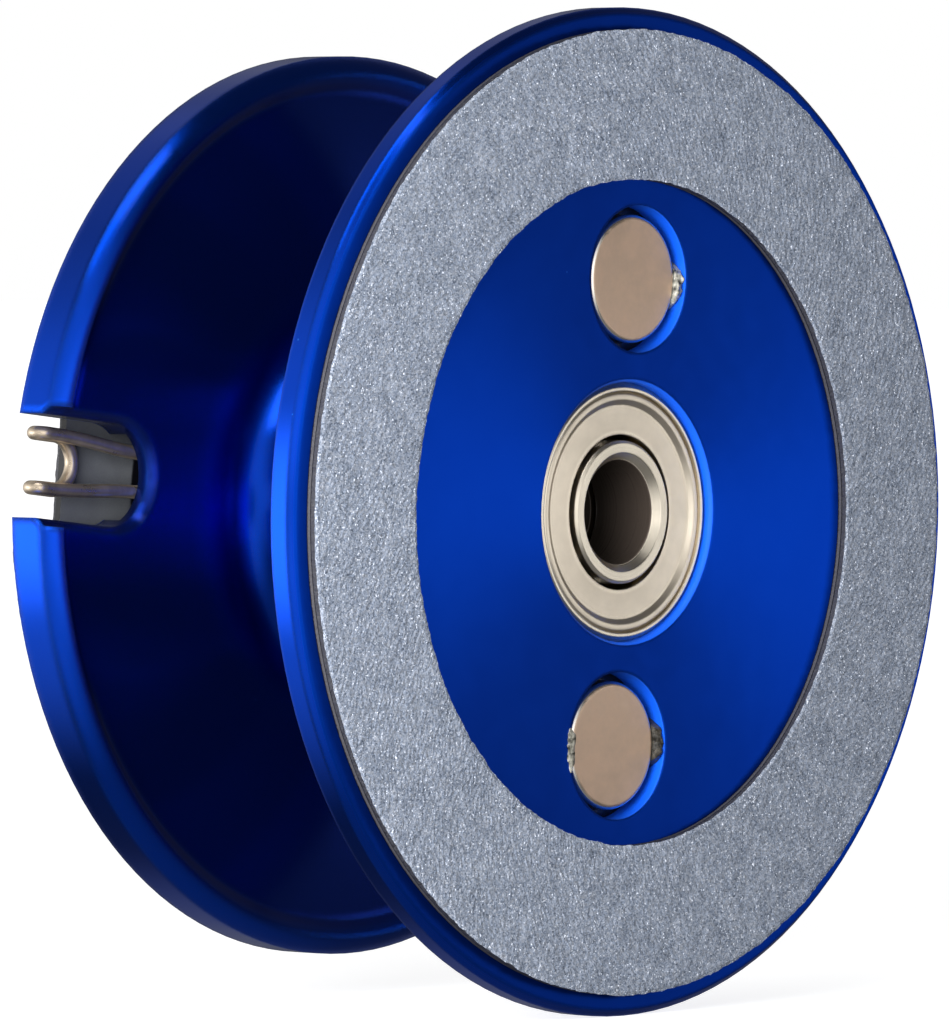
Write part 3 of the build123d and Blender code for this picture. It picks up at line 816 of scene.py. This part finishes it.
# Soft-edged patch of the room as the metal sees it. It is even within the inner angle and gone
# beyond the outer one, both in degrees from its middle; squeeze makes it that much lower than wide.
Patch = namedtuple("Patch", "azimuth elevation inner outer squeeze strength")
ROOM_GREY = 0.09
LEFT_WINDOW = Patch(-131, -2, 4, 30, 1.5, 2.2)          # bright line down the rims and drum
LEFT_WALL = Patch(-131, 0, 20, 55, 1.0, 0.8)
FRONT_LEFT_WALL = Patch(-45, 8, 15, 62, 1.0, 0.9)
FRONT_WALL = Patch(-8, 2, 26, 56, 2.8, 0.65)
BACK_RIGHT_HIGH = Patch(131, 33, 8, 30, 1.0, 0.2)
BACK_RIGHT_LOW = Patch(131, -36, 8, 32, 1.0, 0.16)
FLOOR_FRONT = Patch(-10, -72, 10, 60, 1.0, 0.14)
BACK_HIGH = Patch(180, 50, 10, 30, 1.0, 0.3)
BACK_WALL = Patch(180, 2, 10, 38, 1.0, 0.7)
CAMERA_SHADE = Patch(-52, 1, 6, 13, 1.0, -0.95)         # dark spot where the camera stands
ROOM_PATCHES = (
    LEFT_WINDOW,
    LEFT_WALL,
    FRONT_LEFT_WALL,
    FRONT_WALL,
    BACK_RIGHT_HIGH,
    BACK_RIGHT_LOW,
    FLOOR_FRONT,
    BACK_HIGH,
    BACK_WALL,
    CAMERA_SHADE,
)


def glow(graph, patch):
    """Light of one patch of the room."""
    incoming = graph.add("TexCoord").outputs["Generated"]
    squeezed = graph.vector("NORMALIZE", graph.vector("MULTIPLY", incoming, (1, 1, patch.squeeze)))
    centre = direction(patch.azimuth, patch.elevation)
    centre.z *= patch.squeeze
    facing = graph.vector("DOT_PRODUCT", squeezed, tuple(centre.normalized()))
    edge = math.cos(math.radians(patch.outer))
    full = math.cos(math.radians(patch.inner))
    return graph.math("MULTIPLY", graph.smooth_step(facing, edge, full), patch.strength)


def make_world():
    """Grey room with soft bright patches round the horizon; pure white where the camera sees it."""
    world = bpy.data.worlds.new("studio")
    bpy.context.scene.world = world
    world.use_nodes = True
    graph = Graph(world.node_tree, "ShaderNodeOutputWorld")
    total = ROOM_GREY
    for patch in ROOM_PATCHES:
        total = graph.math("ADD", total, glow(graph, patch))
    room = graph.add("Background")
    graph.link(total, room.inputs["Color"])
    backdrop = graph.add("Background")
    backdrop.inputs["Color"].default_value = (1, 1, 1, 1)
    choose = graph.add("MixShader")
    graph.link(graph.add("LightPath").outputs["Is Camera Ray"], choose.inputs[0])
    graph.link(room.outputs[0], choose.inputs[1])
    graph.link(backdrop.outputs[0], choose.inputs[2])
    graph.show(choose.outputs[0])


def make_softbox(name, place, facing, size, radiance, in_metal=True):
    """Rectangular light panel; facing points from what it lights towards the panel.

    in_metal=False keeps it out of reflections.
    """
    lamp = bpy.data.lights.new(name, "AREA")
    lamp.shape = "RECTANGLE"
    lamp.size, lamp.size_y = size
    lamp.energy = radiance * math.pi * size[0] * size[1]
    box = bpy.data.objects.new(name, lamp)
    box.location = place
    box.rotation_euler = facing.to_track_quat("Z", "Y").to_euler()
    box.visible_camera = False
    box.visible_glossy = in_metal
    bpy.context.scene.collection.objects.link(box)


def make_lights():
    """The panel over the spool, the one mirrored in the wide face, and the key from the left."""
    above = Vector((0, 0, 1))
    overhead_place = Vector((-0.062, -0.044, PANEL_DISTANCE))
    make_softbox("overhead", overhead_place, above, size=(0.114, 0.088), radiance=2.6)
    mirrored = direction(MIRRORED_AZIMUTH, 0)
    sideways = Vector((0.656, 0.755, 0))
    face_place = mirrored * PANEL_DISTANCE - sideways * 0.025 - above * 0.0042
    make_softbox("face_panel", face_place, mirrored, size=(0.075, 0.039), radiance=1.15)
    left = direction(-70, 5)
    key_place = left * KEY_DISTANCE
    make_softbox("left_key", key_place, left, size=(0.1, 0.1), radiance=23, in_metal=False)


def make_camera():
    """Long lens at the view's azimuth and elevation."""
    back = direction(CAMERA_AZIMUTH, CAMERA_ELEVATION)
    lens = bpy.data.cameras.new("camera")
    lens.lens = CAMERA_FOCAL_LENGTH
    lens.clip_start = 0.05
    lens.clip_end = 20
    camera = bpy.data.objects.new("camera", lens)
    camera.location = CAMERA_TARGET + back * CAMERA_DISTANCE
    camera.rotation_euler = (-back).to_track_quat("-Z", "Y").to_euler()
    bpy.context.scene.collection.objects.link(camera)
    bpy.context.scene.camera = camera


make_floor()
make_world()
make_lights()
make_camera()
bpy.context.scene.view_settings.view_transform = "Standard"
bpy.context.scene.view_settings.gamma = 0.88
